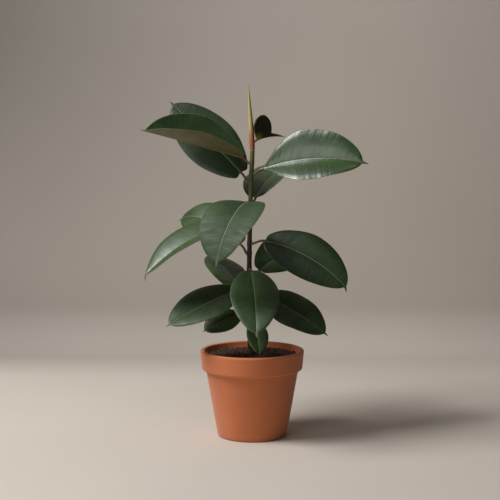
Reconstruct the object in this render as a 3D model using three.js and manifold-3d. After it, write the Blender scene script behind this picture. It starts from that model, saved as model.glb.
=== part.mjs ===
// Potted rubber plant (Ficus elastica): a terracotta pot, its soil, one woody stem, fifteen grown leaves,
// a young leaf that is still rolled up, and the pointed sheath around the bud.
// Millimetres, +Z up. The origin is the centre of the pot's underside.
import * as THREE from "three";
import { mergeVertices } from "three/addons/utils/BufferGeometryUtils.js";
import Module from "manifold-3d";

const wasm = await Module();
wasm.setup();

// Room left between pieces that touch.
const CLEARANCE = 0.3;

// Pot: a tapered body under a thick collar, with one drain hole.
const RIM_DIAMETER = 200;
const BASE_DIAMETER = 135;
const POT_HEIGHT = 167;
const COLLAR_HEIGHT = 38;
const COLLAR_STEP = 8.3; // the collar stands out of the body by this much
const COLLAR_TAPER = 2.8; // and its foot is this much smaller in radius than its lip
const RIM_WALL = 8.2;
const BODY_WALL = 7.5;
const POT_FLOOR = 9;
const LIP_ROUNDING = 3;
const COLLAR_ROUNDING = 2.5;
const FOOT_ROUNDING = 3;
const DRAIN_DIAMETER = 24;
const POT_SIDES = 40;
const ROUNDING_STEPS = 3;

// Soil: fills the pot to just under the lip, a little higher round the stem.
const SOIL_BELOW_RIM = 11;
const SOIL_CROWN = 1.5;
const SOIL_SIDES = 40;

// Stem: measured from the soil up. It leans a little left, and comes back to the middle at its top.
const STEM_LENGTH = 394;
const STEM_IN_SOIL = 60;
const STEM_RADIUS = 4.6;
const STEM_FOOT_FLARE = 1;
const STEM_OFFSET = -2.5;
const STEM_BOW = 3.2;
const BOW_LEAN = 0.8; // under 1 puts the bow's deepest place below the middle
const STEM_RETURN = 3;
const STEM_SIDES = 12;
const STEM_STATIONS = 20;

// Bud sheath: a long soft spike on the stem's top.
const SHEATH_LENGTH = 125;
const SHEATH_RADIUS = 4.9;
const SHEATH_LEAN = 8;
const SHEATH_POINT = 2.6; // the higher, the later it narrows to its point
const SHEATH_BELLY = 0.16; // share by which its lower half swells
const SHEATH_SIDES = 10;
const SHEATH_STATIONS = [0, 0.1, 0.2, 0.32, 0.44, 0.56, 0.68, 0.8, 0.9, 0.97];

// Leaves.
const LOWEST_LEAF = 72; // height of the lowest leaf's foot above the soil
const PETIOLE_RADIUS = 2.3;
const PETIOLE_FOOT_FLARE = 0.7;
const STALK_BEND = 0.3; // share of the stalk in which it turns up from the stem
const BLADE_THICKNESS = 1.2;
const YOUNG_THICKNESS = 0.8;
const KEEL_DEPTH = 1.3; // how far the midrib stands out under the blade at its base
const HEART_REACH = 0.2; // share of the blade in which the lobes reach back
const OUTLINE_LEAN = 0.93; // under 1 brings the widest place of a blade toward its base
const BASE_FULLNESS = 0.6; // powers that fill out a blade's outline on either side of its widest place
const TIP_FULLNESS = 0.55;
const WIDEST = 0.453; // share of the blade's length where it is widest
const DRIP_TIP_START = 0.94; // share of the blade's length where the narrow tip begins
const DRIP_TIP_LENGTH = 0.11; // the tip narrows over this share of the blade's length
const DRIP_TIP_WIDTH = 0.1; // from this share of the blade's width
const WALK_STEPS = 6; // straight steps from one ring of a leaf to the next

// at: place on the stem, 0 at the lowest leaf's height and 1 at the stem's top. heading: the way the leaf
// leaves the stem, seen from above, 0 along +X and 90 along +Y. petiole, length, width: sizes of the stalk
// and the blade.
// rise: the stalk's first climb, and turn: its turn to the left. pitch: the blade's climb at its base.
// droop: how far it turns down by its tip, and bend: how late along the blade. sweep: turn to the left on
// the way. roll: tilt about the midrib, left side up, and twist: more of it by the tip. fold: rise of both
// halves from the midrib, and cup: more by the margins. heart: how far the blade's two lobes reach back
// past the end of the stalk. blunt: the power that fills out its base, less for a blunter one, and taper:
// the same for its tip half. forward: how far its margins lean toward the tip, per half width.
const PLAIN = {
  turn: 0, bend: 1, sweep: 0, twist: 0, cup: 0, heart: 3,
  forward: 0, blunt: BASE_FULLNESS, taper: TIP_FULLNESS,
};
const LEAVES = [
  {
    at: 0, heading: -70, petiole: 18, length: 72, width: 43,
    rise: 0, pitch: -40, droop: 28, sweep: -10, roll: 0, fold: 8,
  },
  {
    at: 0.013, heading: 195, petiole: 14, length: 80, width: 64,
    rise: 30, pitch: -14, droop: 16, roll: -32, fold: 6,
  },
  {
    at: 0.09, heading: 124, petiole: 27, length: 150, width: 79,
    rise: 45, pitch: 41, droop: 30, sweep: -6, roll: 0, fold: 4,
  },
  {
    at: 0.136, heading: -22, petiole: 20, length: 154, width: 90,
    rise: 25, pitch: -18, droop: 20, roll: 30, fold: 3,
  },
  {
    at: 0.164, heading: 207, petiole: 16, length: 168, width: 86,
    rise: 40, pitch: -15, droop: 14, roll: -30, fold: 4,
  },
  {
    at: 0.23, heading: 42, petiole: 26, length: 188, width: 98,
    rise: 50, pitch: 30, droop: 40, roll: 34, fold: 8,
  },
  {
    at: 0.292, heading: -83, petiole: 24, length: 172, width: 91,
    rise: 20, pitch: -25, droop: 28, sweep: -6, roll: 0, fold: 6,
  },
  {
    at: 0.385, heading: 135, petiole: 26, length: 192, width: 98,
    rise: 60, pitch: 26, droop: 60, bend: 3, roll: -32, twist: -14, fold: 4,
  },
  {
    at: 0.447, heading: -18, petiole: 26, length: 193, width: 97,
    rise: 30, pitch: -9, droop: 39, roll: 50, fold: 3,
  },
  {
    at: 0.544, heading: 196, petiole: 34, length: 206, width: 90,
    rise: 35, pitch: -13, droop: 34, sweep: 6, roll: -18, twist: 8, fold: 16, taper: 0.72,
  },
  {
    at: 0.665, heading: -103, petiole: 24, length: 195, width: 114,
    rise: 45, pitch: 3, droop: 82, sweep: -26, roll: -2, fold: 8, blunt: 0.55, taper: 0.45,
  },
  {
    at: 0.668, heading: 66, petiole: 26, length: 206, width: 116,
    rise: 45, pitch: 38, droop: 34, sweep: -34, roll: -6, fold: 12,
  },
  {
    at: 0.814, heading: 159, petiole: 23, length: 206, width: 104,
    rise: 60, pitch: 44, droop: 3, roll: -60, fold: -4, heart: 8,
  },
  {
    at: 0.86, heading: -22, petiole: 21, length: 209, width: 115,
    rise: 40, pitch: 19, droop: 32, sweep: 6, roll: 60, fold: 18, cup: 6, heart: 0, blunt: 1.05,
  },
  {
    at: 0.925, heading: 185, petiole: 22, length: 197, width: 120,
    rise: 50, pitch: 16, droop: 2, roll: -17, twist: -18, fold: 42, cup: 20, heart: 16, blunt: 0.75,
  },
];
const YOUNG_LEAF = {
  at: 0.982, heading: 100, petiole: 33, length: 58, width: 90,
  rise: 86, turn: -80, pitch: 22, droop: 33, sweep: -20, roll: -8, fold: 80, cup: 8, heart: 6, forward: 0.3,
};
const YOUNG_LOBE = 0.5; // share of the young blade's length that is wide
const YOUNG_LEAN = 0.7; // under 1 brings the lobe's widest place toward its base
const YOUNG_FULLNESS = 0.42; // power that fills out the lobe past its first third
const YOUNG_TAIL_START = 0.3;
const YOUNG_TAIL_WIDTH = 15;

const TERRACOTTA = new THREE.MeshStandardMaterial({ color: 0xb0684a, roughness: 0.85, metalness: 0 });
const SOIL = new THREE.MeshStandardMaterial({ color: 0x3f2d24, roughness: 1, metalness: 0 });
const BARK = new THREE.MeshStandardMaterial({ color: 0x4a4429, roughness: 0.8, metalness: 0 });
const SHEATH = new THREE.MeshStandardMaterial({ color: 0xa79c6d, roughness: 0.5, metalness: 0 });
const LEAF = new THREE.MeshStandardMaterial({ color: 0x2b4a2c, roughness: 0.3, metalness: 0 });
const YOUNG = new THREE.MeshStandardMaterial({ color: 0x2a1f12, roughness: 0.4, metalness: 0 });

const radians = THREE.MathUtils.degToRad;
const between = THREE.MathUtils.lerp;

// ---- Closed bodies ----

// Joins rings of equal point counts, listed counter-clockwise when seen from the last ring, into one closed
// body. An end that is given an apex closes to that point, and one without closes to its ring's centre.
function loft(rings, firstApex, lastApex) {
  const sides = rings[0].length;
  const points = rings.flat();
  const first = points.push(firstApex ?? centreOf(rings[0])) - 1;
  const last = points.push(lastApex ?? centreOf(rings.at(-1))) - 1;
  const end = (rings.length - 1) * sides;
  const faces = [];
  for (let k = 0; k < sides; k++) {
    const next = (k + 1) % sides;
    for (let row = 0; row < end; row += sides) {
      faces.push(row + k, row + next, row + sides + next);
      faces.push(row + k, row + sides + next, row + sides + k);
    }
    faces.push(first, next, k);
    faces.push(last, end + k, end + next);
  }
  const geometry = new THREE.BufferGeometry().setFromPoints(points);
  geometry.setIndex(faces);
  geometry.computeVertexNormals();
  return geometry;
}

function centreOf(ring) {
  const sum = new THREE.Vector3();
  ring.forEach((point) => sum.add(point));
  return sum.divideScalar(ring.length);
}

// A level ring round a point, counter-clockwise seen from above.
function levelRing(centre, radius, sides) {
  return Array.from({ length: sides }, (_, k) => {
    const angle = (k / sides) * 2 * Math.PI;
    return new THREE.Vector3(Math.cos(angle) * radius, Math.sin(angle) * radius, 0).add(centre);
  });
}

// A profile of [radius, height] points turned about the Z axis.
function turned(profile, sides) {
  const points = profile.map(([radius, height]) => new THREE.Vector2(radius, height));
  return new THREE.LatheGeometry(points, sides).rotateX(Math.PI / 2);
}

// Points of a quarter circle in a profile, from one angle to another.
function quarter(radius, height, size, from, to) {
  return Array.from({ length: ROUNDING_STEPS + 1 }, (_, k) => {
    const angle = radians(between(from, to, k / ROUNDING_STEPS));
    return [radius + size * Math.cos(angle), height + size * Math.sin(angle)];
  });
}

function solid(geometry) {
  const bare = geometry.clone();
  bare.deleteAttribute("normal");
  bare.deleteAttribute("uv");
  const merged = mergeVertices(bare, 1e-3);
  const mesh = new wasm.Mesh({
    numProp: 3,
    vertProperties: merged.getAttribute("position").array,
    triVerts: new Uint32Array(merged.index.array),
  });
  return new wasm.Manifold(mesh);
}

function geometryOf(body) {
  const mesh = body.getMesh();
  const geometry = new THREE.BufferGeometry();
  geometry.setAttribute("position", new THREE.BufferAttribute(mesh.vertProperties, 3));
  geometry.setIndex(new THREE.BufferAttribute(mesh.triVerts, 1));
  geometry.computeVertexNormals();
  return geometry;
}

// ---- Pot ----

const rimRadius = RIM_DIAMETER / 2;
const baseRadius = BASE_DIAMETER / 2;
const collarFoot = POT_HEIGHT - COLLAR_HEIGHT;
const collarFootRadius = rimRadius - COLLAR_TAPER;
const bodyTopRadius = collarFootRadius - COLLAR_STEP;

// The inner wall, from the floor up to the lip, as [radius, height] points.
const INNER_WALL = [
  [baseRadius - BODY_WALL, POT_FLOOR],
  [bodyTopRadius - BODY_WALL, collarFoot],
  [rimRadius - RIM_WALL, POT_HEIGHT - LIP_ROUNDING],
];

function innerRadius(height) {
  const [low, middle, high] = INNER_WALL;
  const [from, to] = height < middle[1] ? [low, middle] : [middle, high];
  return between(from[0], to[0], (height - from[1]) / (to[1] - from[1]));
}

function pot() {
  const drain = DRAIN_DIAMETER / 2;
  const lipHeight = POT_HEIGHT - LIP_ROUNDING;
  const profile = [
    [drain, 0],
    ...quarter(baseRadius - FOOT_ROUNDING, FOOT_ROUNDING, FOOT_ROUNDING, -90, 0),
    [bodyTopRadius, collarFoot],
    ...quarter(collarFootRadius - COLLAR_ROUNDING, collarFoot + COLLAR_ROUNDING, COLLAR_ROUNDING, -90, 0),
    ...quarter(rimRadius - LIP_ROUNDING, lipHeight, LIP_ROUNDING, 0, 90),
    ...quarter(rimRadius - RIM_WALL + LIP_ROUNDING, lipHeight, LIP_ROUNDING, 90, 180),
    INNER_WALL[1],
    INNER_WALL[0],
    [drain, POT_FLOOR],
    [drain, 0],
  ];
  return turned(profile, POT_SIDES);
}

// ---- Stem ----

const soilTop = POT_HEIGHT - SOIL_BELOW_RIM;
const stemFoot = soilTop - STEM_IN_SOIL;
const stemTop = soilTop + STEM_LENGTH;

// The stem's middle at a share of its length above the soil. Below the soil it goes straight down.
function stemCentre(share) {
  const above = Math.max(share, 0);
  const bow = STEM_BOW * Math.sin(Math.PI * above ** BOW_LEAN);
  return new THREE.Vector3(STEM_OFFSET - bow + STEM_RETURN * above ** 3, 0, soilTop + share * STEM_LENGTH);
}

function stemRadius(share) {
  return STEM_RADIUS + STEM_FOOT_FLARE * (1 - Math.max(share, 0)) ** 3;
}

// A leaf's place on the stem, as a share of the stem's length.
function leafShare(leaf) {
  return between(LOWEST_LEAF, STEM_LENGTH, leaf.at) / STEM_LENGTH;
}

// The stem made fatter, and longer at its foot, by a margin.
function stem(margin) {
  const rings = [];
  for (let k = 0; k <= STEM_STATIONS; k++) {
    const height = between(stemFoot - margin, stemTop, k / STEM_STATIONS);
    const share = (height - soilTop) / STEM_LENGTH;
    rings.push(levelRing(stemCentre(share), stemRadius(share) + margin, STEM_SIDES));
  }
  return loft(rings);
}

// ---- Soil ----

function soil() {
  const floor = POT_FLOOR + CLEARANCE;
  const edge = innerRadius(soilTop) - CLEARANCE;
  const crown = [1, 0.6, 0.3, 0].map((share) => [edge * share, soilTop + SOIL_CROWN * (1 - share ** 2)]);
  const profile = [
    [0, floor],
    [innerRadius(floor) - CLEARANCE, floor],
    [innerRadius(collarFoot) - CLEARANCE, collarFoot],
    ...crown,
  ];
  return geometryOf(solid(turned(profile, SOIL_SIDES)).subtract(solid(stem(CLEARANCE))));
}

// ---- Bud sheath ----

function sheathRadius(share) {
  const belly = 1 - SHEATH_BELLY / 2 + SHEATH_BELLY * Math.sin(Math.PI * Math.min(share * 2, 1));
  return SHEATH_RADIUS * belly * (1 - share ** SHEATH_POINT);
}

function sheath() {
  const foot = stemCentre(1).add(new THREE.Vector3(0, 0, CLEARANCE));
  const middle = (share) => new THREE.Vector3(-SHEATH_LEAN * share, 0, SHEATH_LENGTH * share).add(foot);
  const rings = SHEATH_STATIONS.map((share) => levelRing(middle(share), sheathRadius(share), SHEATH_SIDES));
  return loft(rings, undefined, middle(1));
}

// ---- Leaves ----

const PETIOLE_STATIONS = [0, 0.12, 0.3, 0.5, 0.75];
const BLADE_STATIONS = [
  0, 0.03, 0.07, 0.13, 0.2, 0.29, 0.38, 0.47, 0.56, 0.65, 0.74, 0.82, 0.88, 0.925, 0.955, 0.98,
];
// Where a leaf's ring of points lies across its width, from 1 at the left margin to -1 at the right.
const ACROSS = [1, 0.5, 0, -0.5, -1];

// Half the width of a grown blade, as a share of its widest half, at a share of its length.
function grownOutline(share, leaf) {
  const swell = Math.sin(Math.PI * Math.min(share / DRIP_TIP_START, 1) ** OUTLINE_LEAN);
  const body = Math.max(swell, 0) ** (share < WIDEST ? leaf.blunt : leaf.taper);
  const tip = share > WIDEST ? DRIP_TIP_WIDTH * Math.min((1 - share) / DRIP_TIP_LENGTH, 1) : 0;
  return Math.max(body, tip);
}

// The young blade is one broad lobe, and then a narrow tail.
function youngOutline(share) {
  const lobe = Math.sin(Math.PI * Math.min(share / YOUNG_LOBE, 1) ** YOUNG_LEAN);
  const tail = (YOUNG_TAIL_WIDTH / YOUNG_LEAF.width) * Math.min(2 * (1 - share), 1);
  const fullness = share < YOUNG_LOBE / 3 ? BASE_FULLNESS : YOUNG_FULLNESS;
  return Math.max(Math.max(lobe, 0) ** fullness, share > YOUNG_TAIL_START ? tail : 0);
}

// The direction of a heading and a climb, with the level direction to its right and the one above it,
// both turned about it by a roll that lifts the left side.
function frameOf(heading, climb, roll) {
  const level = Math.cos(climb);
  const along = new THREE.Vector3(level * Math.cos(heading), level * Math.sin(heading), Math.sin(climb));
  const right = new THREE.Vector3(Math.sin(heading), -Math.cos(heading), 0);
  const up = right.clone().cross(along);
  return { along, right: right.applyAxisAngle(along, roll), up: up.applyAxisAngle(along, roll) };
}

// Frames along the stalk and the blade, each at its station, walked in short straight steps.
function walk(start, stations, length, frameAt) {
  const places = [];
  const place = start.clone();
  stations.forEach((share, k) => {
    const before = k ? stations[k - 1] : 0;
    for (let step = 0; step < WALK_STEPS; step++) {
      const middle = between(before, share, (step + 0.5) / WALK_STEPS);
      place.addScaledVector(frameAt(middle).along, ((share - before) * length) / WALK_STEPS);
    }
    places.push({ share, place: place.clone(), ...frameAt(share) });
  });
  return places;
}

// The stalk starts level, square to the stem, and soon turns up.
function petioleFrame(leaf, share) {
  const climb = between(leaf.rise * Math.min(share / STALK_BEND, 1), leaf.pitch, share ** 2);
  return frameOf(radians(leaf.heading + leaf.turn * share), radians(climb), radians(leaf.roll) * share);
}

function bladeFrame(leaf, share) {
  const heading = leaf.heading + leaf.turn + leaf.sweep * share;
  const climb = leaf.pitch - leaf.droop * share ** leaf.bend;
  const roll = leaf.roll + leaf.twist * share;
  return frameOf(radians(heading), radians(climb), radians(roll));
}

// A round ring of the stalk, its points in the same order as a blade's.
function stalkRing({ place, right, up }, radius) {
  const count = 2 * ACROSS.length;
  return Array.from({ length: count }, (_, k) => {
    const angle = Math.PI * (1 - (2 * k + 1) / count);
    const point = place.clone().addScaledVector(right, Math.cos(angle) * radius);
    return point.addScaledVector(up, Math.sin(angle) * radius);
  });
}

// A blade's ring at its station: its top from the left margin to the right, then its underside back.
function bladeRing({ place, along, right, up, share }, leaf) {
  const half = (leaf.width / 2) * leaf.outline(share, leaf);
  const keel = KEEL_DEPTH * (1 - share);
  const back = leaf.heart * Math.max(1 - share / HEART_REACH, 0);
  const onSurface = (across, side) => {
    const out = Math.abs(across);
    const lift = radians(leaf.fold + leaf.cup * out * 0.5);
    const lean = across === 0 ? 0 : lift * Math.sign(across);
    const depth = side * (leaf.thickness / 2) - (side < 0 && across === 0 ? keel : 0);
    return place
      .clone()
      .addScaledVector(along, leaf.forward * half * out - back * out)
      .addScaledVector(right, -half * across * Math.cos(lift) + depth * Math.sin(lean))
      .addScaledVector(up, half * out * Math.sin(lift) + depth * Math.cos(lean));
  };
  const top = ACROSS.map((across) => onSurface(across, 1));
  const underside = ACROSS.toReversed().map((across) => onSurface(across, -1));
  return [...top, ...underside];
}

// One leaf: a round stalk that flattens into the blade, closed at its narrow tip.
function leafGeometry(leaf) {
  const level = frameOf(radians(leaf.heading), 0, 0);
  const share = leafShare(leaf);
  const start = stemCentre(share).addScaledVector(level.along, stemRadius(share) + CLEARANCE);
  const stalk = walk(start, [...PETIOLE_STATIONS, 1], leaf.petiole, (share) => petioleFrame(leaf, share));
  const base = stalk.pop().place;
  const blade = walk(base, [...BLADE_STATIONS, 1], leaf.length, (share) => bladeFrame(leaf, share));
  const tip = blade.pop().place;
  const stalkRadius = (share) => PETIOLE_RADIUS + PETIOLE_FOOT_FLARE * (1 - share) ** 4;
  const foot = stalkRing({ ...level, place: start }, stalkRadius(0));
  const stalkRings = stalk.slice(1).map((station) => stalkRing(station, stalkRadius(station.share)));
  const join = stalkRing(blade[0], PETIOLE_RADIUS);
  const bladeRings = blade.slice(1).map((station) => bladeRing(station, leaf));
  return loft([foot, ...stalkRings, join, ...bladeRings], undefined, tip);
}

// ---- The plant ----

function named(name, geometry, material) {
  const mesh = new THREE.Mesh(geometry, material.clone());
  mesh.name = name;
  return mesh;
}

const plant = new THREE.Group();
plant.add(named("terracotta_pot", pot(), TERRACOTTA));
plant.add(named("potting_soil", soil(), SOIL));
plant.add(named("stem", stem(0), BARK));
plant.add(named("bud_sheath", sheath(), SHEATH));
LEAVES.forEach((row, k) => {
  const leaf = { ...PLAIN, ...row, outline: grownOutline, thickness: BLADE_THICKNESS };
  plant.add(named(`leaf_${String(k + 1).padStart(2, "0")}`, leafGeometry(leaf), LEAF));
});
const youngLeaf = { ...PLAIN, ...YOUNG_LEAF, outline: youngOutline, thickness: YOUNG_THICKNESS };
plant.add(named("young_leaf", leafGeometry(youngLeaf), YOUNG));

export default plant;
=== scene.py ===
import math

import bmesh
import bpy
import numpy as np
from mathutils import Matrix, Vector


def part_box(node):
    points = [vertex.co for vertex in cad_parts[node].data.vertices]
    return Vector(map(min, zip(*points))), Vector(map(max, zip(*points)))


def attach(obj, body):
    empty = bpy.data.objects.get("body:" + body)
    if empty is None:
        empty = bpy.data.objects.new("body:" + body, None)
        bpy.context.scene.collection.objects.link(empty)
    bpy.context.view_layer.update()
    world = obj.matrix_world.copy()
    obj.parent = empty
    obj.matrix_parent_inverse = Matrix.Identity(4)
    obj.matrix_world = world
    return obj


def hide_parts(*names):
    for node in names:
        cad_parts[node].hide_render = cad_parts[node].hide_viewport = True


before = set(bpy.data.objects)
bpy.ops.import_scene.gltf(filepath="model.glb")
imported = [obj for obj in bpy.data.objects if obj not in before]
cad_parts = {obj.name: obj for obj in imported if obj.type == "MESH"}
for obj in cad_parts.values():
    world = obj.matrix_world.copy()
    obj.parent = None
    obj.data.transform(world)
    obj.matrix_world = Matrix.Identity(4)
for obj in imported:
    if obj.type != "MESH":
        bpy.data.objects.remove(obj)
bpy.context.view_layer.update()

MM = 0.001
RNG = np.random.default_rng(7)  # every random draw of the scene comes from here, in the order of the script

# ---- Camera, light and stage ----

CAMERA_PLACE = (-0.0041, -2.252, 0.567)
CAMERA_PITCH_DOWN = 5.27
CAMERA_LENS = 85
KEY_PLACE = (-1.72, -0.62, 2.66)
KEY_SIZE = 1.35
KEY_POWER = 98
KEY_COLOUR = (1, 0.99, 0.975)
SIDE_PLACE = (-1.62, -2.27, 0.85)
SIDE_SIZE = 1.3
SIDE_POWER = 13
TOP_PLACE = (0, -0.75, 2.5)
TOP_SIZE = 1.4
TOP_POWER = 3
FILL_COLOUR = (1, 0.99, 0.98)  # of the side and the top light
AIM = (0, 0, 0.3)  # the lights face this place
WORLD_COLOUR = (0.80, 0.80, 0.80, 1)
WORLD_STRENGTH = 0.02
FLOOR_EDGE = 0.94  # the floor turns up into the wall at this Y
FLOOR_CURVE = 0.12
STAGE_HALF_WIDTH = 5
STAGE_FRONT = -5
STAGE_TOP = 3.2


def link(obj):
    bpy.context.scene.collection.objects.link(obj)
    return obj


def add_camera():
    data = bpy.data.cameras.new("camera")
    data.lens = CAMERA_LENS
    camera = link(bpy.data.objects.new("camera", data))
    camera.location = CAMERA_PLACE
    camera.rotation_euler = (math.radians(90 - CAMERA_PITCH_DOWN), 0, 0)
    bpy.context.scene.camera = camera


def add_soft_light(name, place, size, power, colour):
    data = bpy.data.lights.new(name, "AREA")
    data.shape = "SQUARE"
    data.size = size
    data.energy = power
    data.color = colour
    light = link(bpy.data.objects.new(name, data))
    light.location = place
    toward = np.array(AIM) - np.array(place)
    light.rotation_euler = (math.atan2(math.hypot(toward[0], toward[1]), -toward[2]), 0, 0)
    light.rotation_euler[2] = math.atan2(toward[1], toward[0]) - math.pi / 2


def add_world():
    world = bpy.data.worlds.new("studio")
    world.use_nodes = True
    background = world.node_tree.nodes["Background"]
    background.inputs["Color"].default_value = WORLD_COLOUR
    background.inputs["Strength"].default_value = WORLD_STRENGTH
    bpy.context.scene.world = world


# ---- Node helpers ----


def srgb(red, green, blue):
    """A display colour, 0 to 255 a channel, as a linear colour with alpha."""
    parts = [value / 255 for value in (red, green, blue)]
    linear = [p / 12.92 if p <= 0.04045 else ((p + 0.055) / 1.055) ** 2.4 for p in parts]
    return (*linear, 1)


class Shader:
    """A material's node tree, with short calls for the few kinds of node that this scene uses."""

    def __init__(self, name):
        self.material = bpy.data.materials.new(name)
        self.material.use_nodes = True
        self.tree = self.material.node_tree
        self.surface = self.tree.nodes["Principled BSDF"]

    def node(self, kind, inputs, output=0, **settings):
        made = self.tree.nodes.new(kind)
        for key, value in settings.items():
            setattr(made, key, value)
        for socket, value in inputs.items():
            self.put(made.inputs[socket], value)
        return made.outputs[output]

    def put(self, socket, value):
        if isinstance(value, bpy.types.NodeSocket):
            self.tree.links.new(value, socket)
        else:
            socket.default_value = value

    def attribute(self, name):
        return self.node("ShaderNodeAttribute", {}, "Fac", attribute_name=name)

    def place(self):
        return self.node("ShaderNodeTexCoord", {}, "Object")

    def scaled(self, vector, scale):
        return self.node("ShaderNodeVectorMath", {0: vector, 1: scale}, operation="MULTIPLY")

    def vector(self, x, y, z):
        return self.node("ShaderNodeCombineXYZ", {0: x, 1: y, 2: z})

    def split(self, vector, axis):
        return self.node("ShaderNodeSeparateXYZ", {0: vector}, axis)

    def math(self, operation, first, second=0.0):
        return self.node("ShaderNodeMath", {0: first, 1: second}, operation=operation)

    def noise(self, vector, scale, detail=3.0, roughness=0.5):
        inputs = {"Vector": vector, "Scale": scale, "Detail": detail, "Roughness": roughness}
        return self.node("ShaderNodeTexNoise", inputs, "Fac")

    def spots(self, vector, scale):
        return self.node("ShaderNodeTexVoronoi", {"Vector": vector, "Scale": scale}, "Distance")

    def span(self, value, low, high, start=0.0, end=1.0):
        """Value from low to high, eased, as start to end."""
        inputs = {"Value": value, "From Min": low, "From Max": high, "To Min": start, "To Max": end}
        return self.node("ShaderNodeMapRange", inputs, interpolation_type="SMOOTHSTEP")

    def mix(self, factor, first, second, blend="MIX"):
        inputs = {0: factor, 6: first, 7: second}
        return self.node("ShaderNodeMix", inputs, 2, data_type="RGBA", blend_type=blend)

    def bump(self, height, distance, strength=1.0, below=None):
        inputs = {"Height": height, "Distance": distance, "Strength": strength}
        if below is not None:
            inputs["Normal"] = below
        return self.node("ShaderNodeBump", inputs)

    def finish(self, **inputs):
        for name, value in inputs.items():
            self.put(self.surface.inputs[name.replace("_", " ").title()], value)
        return self.material


# ---- Materials ----


CLAY = srgb(192, 107, 61)
CLAY_PALE = srgb(200, 115, 68)
CLAY_BAND = srgb(165, 90, 57)
CLAY_SPECK = srgb(222, 160, 124)
CLAY_PIT = srgb(128, 70, 45)
CLAY_FOOT = srgb(150, 88, 60)


def terracotta_material():
    """Fired clay: cloudy, faintly banded, with pale specks and dark pits, duller at its foot."""
    s = Shader("terracotta")
    place = s.place()
    height = s.split(place, 2)
    cloud = s.noise(place, 14, 4, 0.6)
    speck = s.noise(place, 900, 2, 0.6)
    rings = s.noise(s.scaled(place, (1, 1, 30)), 9, 3, 0.6)
    colour = s.mix(s.span(cloud, 0.35, 0.7), CLAY, CLAY_PALE)
    colour = s.mix(s.span(rings, 0.4, 0.75, 0, 0.12), colour, CLAY_BAND)
    colour = s.mix(s.span(speck, 0.55, 0.8, 0, 0.45), colour, CLAY_SPECK)
    colour = s.mix(s.span(s.spots(place, 260), 0.0, 0.16, 0.5, 0), colour, CLAY_PIT)
    colour = s.mix(s.span(height, 0.0, 0.012, 0.35, 0), colour, CLAY_FOOT)
    grain = s.bump(speck, 0.0003, 0.55)
    grain = s.bump(s.noise(place, 260, 4, 0.6), 0.0005, 0.35, grain)
    grain = s.bump(rings, 0.0008, 0.15, grain)
    rough = s.span(cloud, 0.3, 0.7, 0.78, 0.9)
    return s.finish(base_color=colour, roughness=rough, normal=grain, sheen_weight=0.22)


SOIL_DARK = srgb(64, 40, 33)
SOIL_PALE = srgb(122, 82, 67)
SOIL_PORE = srgb(34, 24, 19)
SOIL_DAMP = srgb(44, 31, 26)


def soil_material():
    """Crumbs from dark to pale by their tone, with fine pores and damp patches."""
    s = Shader("soil")
    place = s.place()
    fine = s.noise(place, 700, 4, 0.65)
    colour = s.mix(s.span(s.attribute("tone"), 0, 1), SOIL_DARK, SOIL_PALE)
    colour = s.mix(s.span(fine, 0.4, 0.75, 0, 0.6), colour, SOIL_PORE)
    colour = s.mix(s.span(s.noise(place, 30, 2), 0.4, 0.7, 0, 0.4), colour, SOIL_DAMP)
    grain = s.bump(fine, 0.0008, 0.8)
    return s.finish(base_color=colour, roughness=0.95, normal=grain)


WOOD = srgb(30, 24, 17)
WOOD_DARK = srgb(22, 18, 12)
SHOOT = srgb(88, 90, 44)
SHOOT_DARK = srgb(72, 76, 36)
OLD_BARK = srgb(120, 98, 80)
BARK_LINE = srgb(128, 108, 82)
BARK_SCAR = srgb(58, 42, 28)
BARK_PORE = srgb(140, 122, 92)


def bark_material():
    """Pale old bark at the foot, dark wood above it and a green shoot at the top, lined lengthwise."""
    s = Shader("bark")
    place = s.place()
    height = s.split(place, 2)
    fibre = s.noise(s.scaled(place, (1, 1, 0.05)), 1400, 3, 0.6)
    patch = s.noise(s.scaled(place, (1, 1, 0.35)), 90, 3, 0.6)
    climb = s.math("ADD", height, s.span(patch, 0.3, 0.7, -0.03, 0.03))
    woody = s.mix(s.span(patch, 0.35, 0.7), WOOD, WOOD_DARK)
    green = s.mix(s.span(patch, 0.35, 0.7), SHOOT, SHOOT_DARK)
    colour = s.mix(s.span(climb, 0.34, 0.5), woody, green)
    colour = s.mix(s.span(climb, 0.155, 0.21, 0.75, 0), colour, OLD_BARK)
    lines = s.math("MULTIPLY", s.span(fibre, 0.52, 0.68), s.span(height, 0.16, 0.4, 0.45, 0.08))
    colour = s.mix(lines, colour, BARK_LINE)
    colour = s.mix(s.attribute("scar"), colour, BARK_SCAR)
    pores = s.span(s.spots(s.scaled(place, (1, 1, 0.6)), 420), 0.0, 0.2, 0.35, 0)
    colour = s.mix(pores, colour, BARK_PORE)
    grain = s.bump(fibre, 0.0004, 0.6)
    grain = s.bump(patch, 0.0006, 0.4, grain)
    return s.finish(base_color=colour, roughness=s.span(climb, 0.2, 0.5, 0.8, 0.5), normal=grain)


LEAF_DEEP = srgb(40, 63, 29)
LEAF_BRIGHT = srgb(54, 79, 38)
LEAF_STREAK = srgb(26, 44, 25)
LEAF_DARKER_AND_SHADED = srgb(14, 24, 13)
LEAF_VEIN = srgb(92, 118, 66)
LEAF_RIB = srgb(122, 142, 84)
UNDER_OLIVE = srgb(92, 90, 54)
UNDER_BROWN = srgb(80, 72, 44)
UNDER_VEIN = srgb(124, 124, 78)
UNDER_RIB = srgb(150, 148, 84)
LEAF_MARGIN_PALE_AND_HIGHLIGHT = srgb(110, 126, 80)
# Painted shade for the drip tips of leaves on the shaded side.
TIP_PAINTED_SHADE = srgb(48, 36, 24)
STALK_RED = srgb(92, 52, 33)
STALK_GREEN = srgb(98, 84, 46)
SHINE_EFFECT = 0.26  # full shine takes this off the roughness


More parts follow.
